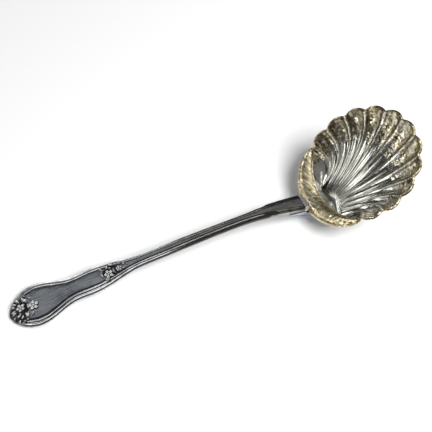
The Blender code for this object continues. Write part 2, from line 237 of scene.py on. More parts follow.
wearAndShadeGroup = makeWearAndShadeGroup()
metal = {
    "handle": (0.71, 0.765, 0.84, 1),
    "stem": (0.60, 0.585, 0.55, 1),
    "heat": (0.62, 0.31, 0.22, 1),
    "flowers": (0.62, 0.625, 0.62, 1),
    "bowl": (0.60, 0.595, 0.54, 1),
    "tarnishAndShade": (0.030, 0.028, 0.026, 1),
    "solder": (0.86, 0.84, 0.80, 1),
    "gilt": (0.39, 0.32, 0.18, 1),
    "giltPale": (0.84, 0.78, 0.58, 1),
    "giltDark": (0.10, 0.075, 0.035, 1),
    # pale metal for rubbed places, and for painted glints and sheen
    "rubbedAndSheen": (0.93, 0.90, 0.80, 1),
}


def startMetal(name):
    material = bpy.data.materials.new(name)
    material.use_nodes = True
    tree = material.node_tree
    shader = tree.nodes["Principled BSDF"]
    shader.inputs["Metallic"].default_value = 1.0
    return material, tree, shader


def addWearAndShade(tree, shader, look, bright, hollow, relief=None, matte=None):
    worn = addNode(tree, "ShaderNodeGroup", node_tree=wearAndShadeGroup)
    given = {"TarnishAndShade": metal["tarnishAndShade"], "Specks": look["specks"], "Hairlines": look["hairlines"],
             "Bright": bright, "Hollow": hollow}
    for name, value in given.items():
        feed(tree, worn.inputs[name], value)
    bump = addNode(tree, "ShaderNodeBump", Strength=1.0, Distance=look["scratchDepth"])
    tree.links.new(worn.outputs["Scratches"], bump.inputs["Height"])
    if relief:
        under = addNode(tree, "ShaderNodeBump", Strength=1.0, Distance=look["reliefDepth"])
        tree.links.new(relief, under.inputs["Height"])
        tree.links.new(under.outputs["Normal"], bump.inputs["Normal"])
    tree.links.new(worn.outputs["Color"], shader.inputs["Base Color"])
    rough = maths(tree, "ADD", worn.outputs["Roughness"], matte) if matte else worn.outputs["Roughness"]
    tree.links.new(rough, shader.inputs["Roughness"])
    tree.links.new(bump.outputs["Normal"], shader.inputs["Normal"])


# handle and strap: smudged, with black in the grooves, and painted shade on the handle's sides and on the
# far side of its panel
agedLook = {
    "hollowRange": (0.2, 0.9),
    "hollowDark": 0.95,
    "smudgeScale": 150.0,
    "smudgeStretch": (1.7, 1.0, 1.0),
    "smudgeRange": (0.40, 0.66),
    "smudgeDark": 0.26,
    "specks": 0.12,
    "hairlines": 0.25,
    "scratchDepth": 0.000003,
}


def makeAgedSilver():
    material, tree, shader = startMetal("agedSilver")
    hollow = remap(tree, markField(tree, "hollow"), *agedLook["hollowRange"], 0.0, agedLook["hollowDark"])
    smudges = noiseField(tree, agedLook["smudgeScale"], stretch=agedLook["smudgeStretch"])
    smudges = remap(tree, smudges, *agedLook["smudgeRange"], 0.0, agedLook["smudgeDark"])
    bright = mixColours(tree, markField(tree, "warm"), metal["handle"], metal["stem"])
    bright = mixColours(tree, markField(tree, "heat"), bright, metal["heat"])
    addWearAndShade(tree, shader, agedLook, bright, maths(tree, "ADD", hollow, smudges))
    return material


# flowers: bright on the petals, black between them
struckLook = {
    "hollowRange": (0.0, 0.7),
    "hollowDark": (0.08, 0.97),
    "specks": 0.2,
    "hairlines": 0.0,
    "scratchDepth": 0.000002,
}


def makeStruckSilver():
    material, tree, shader = startMetal("struckSilver")
    hollow = remap(tree, markField(tree, "hollow"), *struckLook["hollowRange"], *struckLook["hollowDark"])
    addWearAndShade(tree, shader, struckLook, metal["flowers"], hollow)
    return material


# solder: pale and grainy
solderLook = {
    "grainScale": 1400.0,
    "grainRange": (0.45, 0.7),
    "grainDark": 0.4,
    "reliefDepth": 0.00005,
    "specks": 0.3,
    "hairlines": 0.0,
    "scratchDepth": 0.000005,
}


def makeSolder():
    material, tree, shader = startMetal("silverSolder")
    grain = noiseField(tree, solderLook["grainScale"])
    hollow = remap(tree, grain, *solderLook["grainRange"], 0.0, solderLook["grainDark"])
    addWearAndShade(tree, shader, solderLook, metal["solder"], hollow, relief=grain)
    return material


# gilding on the rim and the lip that is speckled and rubbed, over silver, with painted shade, glints and
# sheen on the lobes
giltLook = {
    "speckScale": 1050.0,
    "cloudScale": 330.0,
    "cloudDetail": 4.0,
    "grainScale": 560.0,
    "grainDetail": 2.0,
    "streakScale": 950.0,  # on the lip
    "streakStretch": (4.0, 0.8, 1.0),
    "streakTurn": radians(-68),
    "waverRange": (0.3, 0.7),
    "waver": 0.12,  # of the gilding's border, as a share of the way to the rim
    "border": (0.58, 0.80),
    "thinRange": (0.25, 0.5),
    "thin": 0.55,
    "toneRange": (0.44, 0.64),
    "dirtRange": (0.47, 0.60),
    "dirt": 0.80,
    "lipDirt": 0.3,
    "rubRange": (0.35, 0.55),
    "leastRub": 0.3,
    "hollowRange": (0.2, 1.0),
    "hollowDark": 0.7,
    "bareRelief": 0.12,
    "reliefDepth": 0.00016,
    "lipMatte": 0.15,
    "rubMatte": 0.1,
    "specks": 0.1,
    "hairlines": 0.1,
    "scratchDepth": 0.000006,
}


def makeGiltShell():
    look = giltLook
    material, tree, shader = startMetal("giltShell")
    specks = noiseField(tree, look["speckScale"])
    clouds = noiseField(tree, look["cloudScale"], look["cloudDetail"])
    grain = noiseField(tree, look["grainScale"], look["grainDetail"])
    streaks = noiseField(tree, look["streakScale"], stretch=look["streakStretch"], turn=look["streakTurn"])
    onLip = markField(tree, "matte")

    # where the gilding is, and how thick
    waver = remap(tree, clouds, *look["waverRange"], -look["waver"], look["waver"])
    wavering = maths(tree, "ADD", markField(tree, "rimShare"), waver)
    gilded = maths(tree, "MULTIPLY", remap(tree, wavering, *look["border"]), markField(tree, "inside"))
    mask = maths(tree, "MULTIPLY", gilded, remap(tree, specks, *look["thinRange"], look["thin"], 1.0))

    # pale and deep gold, dirt, bare metal where it is rubbed, and painted glints and sheen in the same pale
    # metal
    tone = mixColours(tree, onLip, clouds, streaks)
    golden = mixColours(tree, remap(tree, tone, *look["toneRange"]), metal["gilt"], metal["giltPale"])
    dirt = maths(tree, "MULTIPLY", remap(tree, specks, *look["dirtRange"], 0.0, look["dirt"]),
                 remap(tree, onLip, 0.0, 1.0, 1.0, look["lipDirt"]))
    golden = mixColours(tree, dirt, golden, metal["giltDark"])
    bright = mixColours(tree, mask, metal["bowl"], golden)
    rubbedAndSheen = maths(tree, "MULTIPLY", markField(tree, "rubbedAndSheen"),
                   remap(tree, specks, *look["rubRange"], 1.0, look["leastRub"]))
    bright = mixColours(tree, rubbedAndSheen, bright, metal["rubbedAndSheen"])

    # the hollow mark: tarnish, with painted shade on the far and the near lobes and beside the ribs
    hollow = remap(tree, markField(tree, "hollow"), *look["hollowRange"], 0.0, look["hollowDark"])
    relief = maths(tree, "MULTIPLY", mixColours(tree, onLip, grain, streaks),
                   maths(tree, "ADD", gilded, look["bareRelief"]))
    matte = maths(tree, "ADD", maths(tree, "MULTIPLY", onLip, look["lipMatte"]),
                  maths(tree, "MULTIPLY", rubbedAndSheen, look["rubMatte"]))
    addWearAndShade(tree, shader, look, bright, hollow, relief, matte)
    return material


agedSilver = makeAgedSilver()
struckSilver = makeStruckSilver()
solderSilver = makeSolder()
giltShell = makeGiltShell()
print("finishes made")


# shell bowl, in axes from the middle of the rim: to the far lobe, sideways, and out of the rim
shell = {
    "lobes": 11,
    "fanAngle": radians(243),
    "rimRadius": 0.0241,
    "heelRadius": 0.0294,
    "lobeBulge": 0.0017,
    "lobeRise": 0.0010,
    "lobeCurl": 8,
    "fluteGrowth": ((0.7, 0.65), (0.3, 6)),  # shares and powers, inside
    "depth": 0.0120,
    "umboSetback": 0.0214,
    "umboWidth": 0.0166,
    "umboLength": 0.0043,
    "umboRear": 0.0020,
    "umboCorner": 0.35,  # of the heel, where the umbo's end is round
    "umboSpread": 0.75,
    "umboBow": 0.4,
    "ribBow": 0.0054,
    "tilt": radians(33.5),
    "wall": 0.0011,
    "normalRange": (0.02, 0.995),
    "normalStep": 0.004,
    "floorShare": 0.3,  # of the wall, over which it leaves the flat floor
    "lipWidth": 0.0078,
    "lipThinning": 0.55,
    "lipRise": 0.0021,
    "lipDrop": 0.0028,
    "lipSwell": 0.45,
    "lipStart": 0.12,
    "heelDrop": 0.0010,
    "lipTurn": radians(150),
    "lipTaper": 1.2,
    "heelCrown": 1.5,
    "toeCrown": 1.75,
    "heelSteepness": 0.85,
    "toeSteepness": 0.80,
    "ribRound": 0.18,
    "ribNarrow": 0.27,
    "ribCrowding": 0.09,
    "rimTop": 0.9984,
    "edgeStep": 0.9,
    "leastStep": 1e-9,
    "lobeColumns": 24,
    "heelColumns": 150,
    "outerRows": 22,
    "lipRows": 26,
    "underLipRows": 10,
    "edgeRows": 6,
    "innerRows": 66,
    "rowSpacing": 1.5,
    "smoothAngle": 75,
}
# hammered marks in the gilded metal: round ones on the lobes, long slanting ones on the lip
dents = {
    "lobeSize": 0.0016,
    "lobeDepth": 0.00012,
    "lobeStart": (0.5, 0.25),
    "lobeEnd": (0.95, 0.05),
    "lobeArch": 0.6,
    "lipSize": (0.0032, 0.0011),
    "lipDepth": 0.00011,
    "lipStep": 0.01,
    "lipStart": 0.15,
    "lipLayer": 0.5,
    "reach": 0.75,
}
# tarnish, wear, and painted shade, glints and sheen on the shell; pairs are a start and a span, along the
# wall unless a note says otherwise
shellAgeAndLight = {
    "lipEdge": (0.94, 0.06),
    "edgeRub": 0.6,
    "outerGilding": (0.97, 0.03),
    "umboDark": 0.82,
    "umboFade": (0.06, 0.28),
    "umboFront": (1.5, 0.6),  # angles
    "umboRear": (0.25, 0.3),  # of the heel
    "fluteDark": 0.6,
    "fluteFade": 0.5,
    "fluteStart": 0.3,
    "flankArch": 0.40,
    "flankWidth": 0.14,
    "flankSpread": 0.14,
    "flankStart": (0.3, 0.3),
    "flankTarnishAndShade": (0.8, 0.2),  # tarnish everywhere, and painted shade added on the far side
    "lobeStart": (0.5, 0.2),
    "lobeTarnishAndShade": (0.05, 0.65, 0.45),  # tarnish everywhere, and painted shade added on the far and the near side
    "sideAngle": 1.2,
    "ribWidth": 0.26,
    "ribStart": (0.2, 0.3),
    "paintedGlint": 0.95,  # a painted glint, a bright spot in each lobe
    "paintedGlintArch": (1.0, 0.03),
    "paintedGlintPlace": (0.87, 0.04),
    "paintedToeSheen": 0.45,
    "toeAngle": 0.5,
    "toeStart": (0.75, 0.2),
}


def heelShare(angle):
    return max(abs(angle) - shell["fanAngle"] / 2, 0.0) / (pi - shell["fanAngle"] / 2)


def lipFullness(angle):
    return max(sin(heelShare(angle) * pi / 2), 0.0) ** shell["lipSwell"]


def fluteArch(angle):
    # 0 on a rib and 1 in the middle of a flute, with the rib's crest rounded off
    if heelShare(angle) > 0:
        return 0.0
    phase = (angle + shell["fanAngle"] / 2) / shell["fanAngle"] * shell["lobes"]
    across, narrow = sin(pi * (phase % 1.0)), shell["ribNarrow"]
    low, high = shell["ribRound"] ** 2, 1 + shell["ribRound"] ** 2
    return ((across**2 + low) ** narrow - low**narrow) / (high**narrow - low**narrow)


def fluteGrowth(share):
    (early, earlyPower), (late, latePower) = shell["fluteGrowth"]
    return early * share**earlyPower + late * share**latePower


def dentDepth(x, y, z):
    # deepest in the middle of each cell of a random pattern
    nearest = noise.voronoi(Vector((x, y, z)))[0][0]
    return max(1 - (nearest / dents["reach"]) ** 2, 0.0)


def umboStart(angle):
    # along the umbo's bow on the fan, round its end, and across behind it
    across = min(abs(angle) / (shell["fanAngle"] / 2), 1.0)
    behind = ramp(heelShare(angle), shell["umboCorner"], 1 - shell["umboCorner"])
    spread = across * (shell["umboSpread"] + (1 - shell["umboSpread"]) * across)
    bowed = 1 - shell["umboBow"] * spread - (1 - shell["umboBow"]) * spread**2
    forward = shell["umboLength"] * bowed + shell["umboRear"] * behind
    side = shell["umboWidth"] / 2 * spread * (1 - behind)
    return forward - shell["umboSetback"], side if angle > 0 else -side


def smoothWall(angle, share):
    # the wall without its flutes, from the umbo to the rim
    lip = lipFullness(angle)
    radius = shell["rimRadius"] + (shell["heelRadius"] - shell["rimRadius"]) * lip
    towardToe = 0.5 + 0.5 * cos(angle)
    crown = shell["heelCrown"] + (shell["toeCrown"] - shell["heelCrown"]) * towardToe
    steepness = shell["heelSteepness"] + (shell["toeSteepness"] - shell["heelSteepness"]) * towardToe
    startForward, startSide = umboStart(angle)
    bow = shell["ribBow"] * abs(sin(angle)) * sin(pi * share) * (1 - lip)
    heelDrop = shell["heelDrop"] * lip * share
    return Vector((startForward + (radius * cos(angle) - startForward) * share + bow,
                   startSide + (radius * sin(angle) - startSide) * share,
                   -heelDrop - (shell["depth"] - heelDrop) * (1 - share**crown) ** steepness))


def downwardNormal(along, around):
    normal = along.cross(around).normalized()
    if normal.z > 0:
        normal.negate()
    return normal


def wallNormal(angle, share):
    lowest, highest = shell["normalRange"]
    share = min(max(share, lowest), highest)
    step = shell["normalStep"]
    normal = downwardNormal(smoothWall(angle, share + step) - smoothWall(angle, share - step),
                            smoothWall(angle + step, share) - smoothWall(angle - step, share))
    return Vector((0, 0, -1)).lerp(normal, ease(share / shell["floorShare"])).normalized()


def wallPoint(angle, share, depth):
    # flutes are crisper inside than outside
    arch = fluteArch(angle)
    hollow = shell["lobeBulge"] * arch * (fluteGrowth(share) if depth else share)
    point = smoothWall(angle, share)
    if depth:
        hammered = ramp(share, *dents["lobeStart"]) * (1 - ramp(share, *dents["lobeEnd"]))
        hammered *= ease(arch / dents["lobeArch"])
        hollow += dents["lobeDepth"] * hammered * dentDepth(*point / dents["lobeSize"])
    point = point + wallNormal(angle, share) * (hollow - depth)
    return point + Vector((0, 0, shell["lobeRise"] * arch * share ** shell["lobeCurl"]))


def wallTop(angle):
    return shell["rimTop"] + (1 - shell["rimTop"]) * ease(heelShare(angle) / shell["lipStart"])


def lipPoint(angle, share, depth):
    # the wall folds inwards over the heel
    lip = lipFullness(angle)
    depth *= 1 - shell["lipThinning"] * lip * share
    turn = shell["lipTurn"] * share
    reach = max(shell["lipWidth"] * lip ** shell["lipTaper"] - depth, 0.0)
    inward = reach * (1 - cos(turn)) / (1 - cos(shell["lipTurn"]))
    lift = lip * ((shell["lipRise"] - depth) * sin(turn) - shell["lipDrop"] * share**2)
    fold = Vector((-inward * cos(angle), -inward * sin(angle), lift))
    return wallPoint(angle, wallTop(angle), depth) + fold


def hammeredLip(angle, share):
    step = dents["lipStep"]
    long, short = dents["lipSize"]
    point = lipPoint(angle, share, 0.0)
    normal = downwardNormal(lipPoint(angle, share + step, 0.0) - lipPoint(angle, share - step, 0.0),
                            lipPoint(angle + step, share, 0.0) - lipPoint(angle - step, share, 0.0))
    around, inward = shell["heelRadius"] * (angle % (2 * pi)), shell["lipWidth"] * share
    depth = dents["lipDepth"] * lipFullness(angle) * ease(share / dents["lipStart"])
    dent = dentDepth((around + inward) / long, (around - inward) / short, dents["lipLayer"])
    return point + normal * depth * dent


def edgePoint(angle, share):
    # rounded edge from the outside to the inside, along the rim and along the lip
    outside, inside = lipPoint(angle, 1.0, 0.0), lipPoint(angle, 1.0, shell["wall"])
    thick = outside - inside
    onward = outside - lipPoint(angle, shell["edgeStep"], 0.0) if heelShare(angle) else Vector()
    onward = onward.normalized() * thick.length / 2 if onward.length > shell["leastStep"] else Vector()
    upward = wallPoint(angle, 1.0, 0.0) - wallPoint(angle, wallTop(angle), 0.0)
    bulge = Vector((0, 0, max(upward.z, 0.0))).lerp(onward, ease(heelShare(angle) / shell["lipStart"]))
    return (outside + inside) / 2 + thick / 2 * cos(pi * share) + bulge * sin(pi * share)


def wallMarks(angle, share, inside):
    # tarnish in the flutes, darker round the umbo, tarnish and painted shade beside the ribs and on the far
    # and the near lobes, bare metal on the ribs, a painted glint in each lobe and painted sheen on the toe
    ageAndLight, arch, onHeel = shellAgeAndLight, fluteArch(angle), heelShare(angle)
    farSide, nearSide = ease(angle / ageAndLight["sideAngle"]), ease(-angle / ageAndLight["sideAngle"])
    onLobe = ramp(share, *ageAndLight["lobeStart"])
    # the umbo's ends stay light
    front = max(1 - ramp(abs(angle), *ageAndLight["umboFront"]), ramp(onHeel, *ageAndLight["umboRear"]))
    umbo = ageAndLight["umboDark"] * front * (1 - ramp(share, *ageAndLight["umboFade"]))
    flute = ageAndLight["fluteDark"] * arch * (1 - ageAndLight["fluteFade"] * share)
    flute *= max(front, ease(share / ageAndLight["fluteStart"]))
    # tarnish in the lobes, with painted shade added on the far and the near lobes
    everywhere, far, near = ageAndLight["lobeTarnishAndShade"]
    hollow = max(flute, umbo, (everywhere + far * farSide + near * nearSide) * arch * onLobe)
    rubbedAndSheen = 0.0 if onHeel else (1 - ease(arch / ageAndLight["ribWidth"])) * ramp(share, *ageAndLight["ribStart"])
    if inside:
        # tarnish beside the ribs, with painted shade there, more on the far side
        everywhere, far = ageAndLight["flankTarnishAndShade"]
        broad = ageAndLight["flankWidth"] + ageAndLight["flankSpread"] * onLobe
        flank = hill(arch, ageAndLight["flankArch"], broad) * ramp(share, *ageAndLight["flankStart"])
        flank *= everywhere + far * farSide
        # a painted glint in each lobe, which also clears the tarnish and painted shade there
        paintedGlint = ageAndLight["paintedGlint"] * hill(arch, *ageAndLight["paintedGlintArch"]) * hill(share, *ageAndLight["paintedGlintPlace"])
        # painted sheen on the toe lobes, brighter on that side
        toeSheen = ageAndLight["paintedToeSheen"] * hill(angle, 0.0, ageAndLight["toeAngle"]) * ramp(share, *ageAndLight["toeStart"])
        hollow = max(hollow, flank) * (1 - paintedGlint)
        rubbedAndSheen = max(rubbedAndSheen, paintedGlint, toeSheen)
    gilding = 1.0 if inside else ramp(share, *ageAndLight["outerGilding"])
    return {"rimShare": share, "inside": gilding, "hollow": hollow, "rubbedAndSheen": rubbedAndSheen, "matte": 0.0}


def makeShellBowl():
    fanColumns = shell["lobes"] * shell["lobeColumns"]
    columns = fanColumns + shell["heelColumns"]

    def columnAngle(column):
        if column <= fanColumns:
            phase = column / shell["lobeColumns"]
            phase -= shell["ribCrowding"] * sin(2 * pi * phase)
            return shell["fanAngle"] * (phase / shell["lobes"] - 0.5)
        beyond = (2 * pi - shell["fanAngle"]) * (column - fanColumns) / shell["heelColumns"]
        angle = shell["fanAngle"] / 2 + beyond
        return angle if angle <= pi else angle - 2 * pi

    def wallShares(rows):
        return [1 - (1 - i / rows) ** shell["rowSpacing"] for i in range(rows + 1)]

    # one row of points after another: up the outside, over the lip, and down the inside
    wall = shell["wall"]
    steps = [("wall", share, 0.0) for share in wallShares(shell["outerRows"])]
    steps += [("lip", i / shell["lipRows"], 0.0) for i in range(1, shell["lipRows"] + 1)]
    steps += [("edge", i / shell["edgeRows"], 0.0) for i in range(1, shell["edgeRows"])]
    steps += [("lip", i / shell["underLipRows"], wall) for i in range(shell["underLipRows"], 0, -1)]
    steps += [("wall", share, wall) for share in reversed(wallShares(shell["innerRows"]))]

    def place(column, row):
        angle = columnAngle(column)
        kind, share, depth = steps[row]
        if kind == "wall":
            marks = wallMarks(angle, share, depth > 0)
            if share == 0:  # the middle of the umbo
                middle = (shell["umboLength"] + shell["umboRear"]) / 2 - shell["umboSetback"]
                return Vector((middle, 0, depth - shell["depth"])), marks
            return wallPoint(angle, min(share, wallTop(angle)), depth), marks
        lip = lipFullness(angle)
        marks = {"rimShare": 1.0, "inside": 1.0, "hollow": 0.0, "rubbedAndSheen": 0.0, "matte": lip}
        if kind == "edge":
            marks["rubbedAndSheen"] = shellAgeAndLight["edgeRub"] * lip
            return edgePoint(angle, share), marks
        if depth:
            return lipPoint(angle, share, depth), marks
        marks["rubbedAndSheen"] = lip * ramp(share, *shellAgeAndLight["lipEdge"])
        return hammeredLip(angle, share), marks

    bowl = sheetPiece("shellBowl", columns, len(steps) - 1, place)
    mergePoints(bowl)

    # tilt it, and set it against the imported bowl's heel and underside
    bowl.data.transform(Matrix.Rotation(-shell["tilt"], 4, "Y"))
    low = [min(vertex.co[axis] for vertex in bowl.data.vertices) for axis in range(3)]
    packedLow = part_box("shell_bowl")[0]
    bowl.data.transform(Matrix.Translation((packedLow.x - low[0], 0, packedLow.z - low[2])))
    bowl.data.materials.append(giltShell)
    finishPiece(bowl, "shell_bowl", shell["smoothAngle"])


makeShellBowl()


# handle: a section swept along the arched middle line; pairs are a start and a span
stem = {
    "endWidth": 0.0180,
    "endX": 0.0110,
    "endThickness": 0.0022,
    "waistWidth": 0.0106,
    "waistX": 0.0268,
    "waistHeight": 0.0051,
    "shoulderWidth": 0.0110,
    "shoulderX": 0.0335,
    "width": 0.0048,
    "thickness": 0.0031,
    "startX": 0.0550,
    "startHeight": 0.0086,
    "neckWidth": 0.0042,
    "neckX": 0.0950,
    "crestX": 0.1030,
    "crestHeight": 0.0121,
    "bowlEndWidth": 0.0073,
    "tipPoint": 1.8,
    "tipFullness": 0.62,
    "tipDrop": 0.0010,
    "tipReach": 0.0030,
    "outerThread": 0.00115,
    "threadGap": 0.00035,
    "innerThread": 0.00064,
    "grooveWidth": 0.0006,
    "slant": 0.00055,
    "outerRise": 0.00036,
    "innerRise": 0.00028,
    "gapDepth": 0.00012,
    "gapPlaces": (0.3, 0.7),
    "groove": 0.00016,
    "threadEnd": 0.1075,  # towards the bowl, where the inner thread stops
    "threadFade": 0.0016,
    "stemShare": 0.60,  # of the border's sizes, on the stem
    "stemSlant": 0.00065,
    "plainSlant": 0.8,  # taken off beyond the threads
    "borderShare": 0.8,  # of the half width, at most
    "underRound": 0.42,
    "panelDepth": 0.00018,
    "panelRound": 0.080,
    "rings": (44, 130, 110),
    "firstRing": 0.15,
    "panelPoints": 12,
    "groovePoints": 10,
    "innerPoints": 12,
    "outerPoints": 16,
    "underPoints": 8,
    "bottomPoints": 5,
    "smoothAngle": 60,
}
# tarnish, painted shade on the sides and on the far side of the panel, warm tint and heat tint of the handle
stemAgeAndShade = {
    # painted shade on the handle's sides
    "side": 0.85,
    "endLighter": 0.08,
    "plainLighter": 0.35,
    "thread": 0.76,  # of the stem's outer threads
    "threadReach": 0.02,
    "stop": 0.8,
    "plain": 0.58,
    "panelEdge": 0.9,
    "panelEdgeStart": (0.86, 0.1),
    "panelFarShade": 0.52,
    "panelFarShadeStart": (0.1, 0.8),
    "grooveEnd": (0.75, 0.25),
    "innerCrest": 0.7,
    "outerCrest": (0.3, 0.6),
    "outerSide": (1.8, 0.8),
    "tip": 0.85,
    "warmReach": 0.0550,
    "borderWarmth": 0.45,
    "heatStart": (0.1150, 0.0050),
    "heatSide": (-0.0006, 0.0015),
}
handleLow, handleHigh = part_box("handle")
stem["length"] = handleHigh.x - handleLow.x
endSlice = 0.00001
endHeights = [vertex.co.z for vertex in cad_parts["handle"].data.vertices
              if vertex.co.x > handleHigh.x - endSlice]
stem["endHeight"] = (min(endHeights) + max(endHeights)) / 2


def easedThrough(stations, x):
    for (x0, v0), (x1, v1) in zip(stations, stations[1:]):
        if x <= x1:
            return v0 + (v1 - v0) * ease((x - x0) / (x1 - x0))
    return stations[-1][1]


def smoothThrough(stations, x):
    last = len(stations) - 1
    index = 0
    while index < last - 1 and x > stations[index + 1][0]:
        index += 1

    def slope(i):
        (x0, v0), (x1, v1) = stations[max(i - 1, 0)], stations[min(i + 1, last)]
        return (v1 - v0) / (x1 - x0)

    (x0, v0), (x1, v1) = stations[index], stations[index + 1]
    span = x1 - x0
    u = min(max((x - x0) / span, 0.0), 1.0)
    return (v0 * (2 * u**3 - 3 * u**2 + 1) + v1 * (3 * u**2 - 2 * u**3)
            + span * (slope(index) * (u**3 - 2 * u**2 + u) + slope(index + 1) * (u**3 - u**2)))


handleWidths = [(stem["endX"], stem["endWidth"] / 2), (stem["waistX"], stem["waistWidth"] / 2),
                (stem["shoulderX"], stem["shoulderWidth"] / 2), (stem["startX"], stem["width"] / 2),
                (stem["neckX"], stem["neckWidth"] / 2), (stem["length"], stem["bowlEndWidth"] / 2)]
handleHeights = [(0.0, stem["endThickness"] / 2), (stem["waistX"], stem["waistHeight"]),
                 (stem["startX"], stem["startHeight"]), (stem["crestX"], stem["crestHeight"]),
                 (stem["length"], stem["endHeight"])]
handleDepths = [(0.0, stem["endThickness"]), (stem["shoulderX"], stem["endThickness"]),
                (stem["startX"], stem["thickness"]), (stem["length"], stem["thickness"])]


def halfWidth(x):
    if x < stem["endX"]:
        return stem["endWidth"] / 2 * (1 - (1 - x / stem["endX"]) ** stem["tipPoint"]) ** stem["tipFullness"]
    return easedThrough(handleWidths, x)


def bottomHeight(x):
    return smoothThrough(handleHeights, x) - easedThrough(handleDepths, x) / 2


def topHeight(x):
    thinned = stem["tipDrop"] * max(1 - x / stem["tipReach"], 0.0) ** 2
    return bottomHeight(x) + easedThrough(handleDepths, x) - thinned


def plainShare(x):
    return ramp(x, stem["threadEnd"], stem["threadFade"])


def borderPlaces(x):
    # how full the border is at x, its slope, and where its parts start, from the panel to the edge
    half = halfWidth(x)
    onEnd = 1 - ramp(x, stem["shoulderX"], stem["startX"] - stem["shoulderX"])
    whole = stem["outerThread"] + stem["threadGap"] + stem["innerThread"] + stem["grooveWidth"]
    full = min(stem["stemShare"] + (1 - stem["stemShare"]) * onEnd, stem["borderShare"] * half / whole)
    outer = half - stem["outerThread"] * full
    innerEnd = outer - stem["threadGap"] * full
    inner = innerEnd - stem["innerThread"] * full
    panel = inner - stem["grooveWidth"] * full
    onStem = stem["stemSlant"] * (1 - onEnd) * (1 - stem["plainSlant"] * plainShare(x))
    slant = stem["slant"] * full * onEnd + onStem
    return full, onEnd, slant / (half - panel), (panel, inner, innerEnd, outer, half)


def panelDrop(onEnd, y):
    return onEnd * (stem["panelDepth"] + y**2 / (2 * stem["panelRound"]))


def handleSurface(x, y):
    # top of the handle without its threads
    _, onEnd, slope, (panel, inner, *_) = borderPlaces(x)
    y = abs(y)
    drop = panelDrop(onEnd, min(y, panel)) * (1 - ease((y - panel) / (inner - panel)))
    return topHeight(x) - drop - slope * max(y - panel, 0.0)


def halfSection(x):
    # from the middle of the top round to the middle of the bottom, as (y, z, hollow)
    full, onEnd, slope, (panel, inner, innerEnd, outer, half) = borderPlaces(x)
    top = topHeight(x)
    bottom = bottomHeight(x)
    plain = plainShare(x)
    stop = stemAgeAndShade["stop"] * hill(x, stem["threadEnd"], stem["threadFade"])
    # painted shade on the sides and underside, standing in for the floor's shadow seen in them, lighter at
    # the end and beyond the threads
    sideShade = stemAgeAndShade["side"] - stemAgeAndShade["endLighter"] * onEnd - stemAgeAndShade["plainLighter"] * plain
    threadDark = stemAgeAndShade["thread"] * ramp(x, stem["startX"], stemAgeAndShade["threadReach"])
    points = []
    for i in range(stem["panelPoints"]):
        share = i / stem["panelPoints"]
        dark = stemAgeAndShade["panelEdge"] * ramp(share, *stemAgeAndShade["panelEdgeStart"])
        points.append((panel * share, top - panelDrop(onEnd, panel * share), dark))

    def addBorder(y, level, hollow):
        points.append((y, level - slope * (y - panel), hollow))

    def untilStop(dark):
        return max(dark * (1 - plain) + stemAgeAndShade["plain"] * plain, stop)

    # groove, inner thread, gap and outer thread
    innerRise = stem["innerRise"] * full * (1 - plain)
    foot = top - innerRise
    edgeLevel = top - panelDrop(onEnd, panel)
    for i in range(stem["groovePoints"]):
        share = i / stem["groovePoints"]
        level = edgeLevel + (foot - edgeLevel) * ease(share)
        level -= stem["groove"] * full * (1 - plain) * sin(pi * share) ** 2
        addBorder(panel + (inner - panel) * share, level, untilStop(1 - ramp(share, *stemAgeAndShade["grooveEnd"])))
    for i in range(stem["innerPoints"] + 1):
        share = i / stem["innerPoints"]
        bulge = max(1 - (2 * share - 1) ** 2, 0.0) ** 0.5
        dark = untilStop(1 - ease(bulge / stemAgeAndShade["innerCrest"]))
        addBorder(inner + (innerEnd - inner) * share, foot + innerRise * bulge, dark)
    for share in stem["gapPlaces"]:
        addBorder(innerEnd + (outer - innerEnd) * share, foot - stem["gapDepth"] * full, 1.0)
    middle, rise = (outer + half) / 2, stem["outerRise"] * full
    for i in range(stem["outerPoints"] + 1):
        turn = pi * i / stem["outerPoints"]
        dark = sideShade * ramp(turn, *stemAgeAndShade["outerSide"])
        if i < stem["outerPoints"] / 2:
            dark = 1 - ramp(sin(turn), *stemAgeAndShade["outerCrest"])
        addBorder(middle - (half - middle) * cos(turn), top - rise + rise * sin(turn), max(dark, threadDark))

    # side and underside, in painted shade
    edge = points[-1][1]
    under = stem["underRound"] * (edge - bottom)
    for i in range(1, stem["underPoints"] + 1):
        turn = pi / 2 * i / stem["underPoints"]
        points.append((half - under * (1 - cos(turn)), edge - (edge - bottom) * sin(turn), sideShade))
    for i in range(1, stem["bottomPoints"] + 1):
        points.append(((half - under) * (1 - i / stem["bottomPoints"]), bottom, 0.0))
    return points


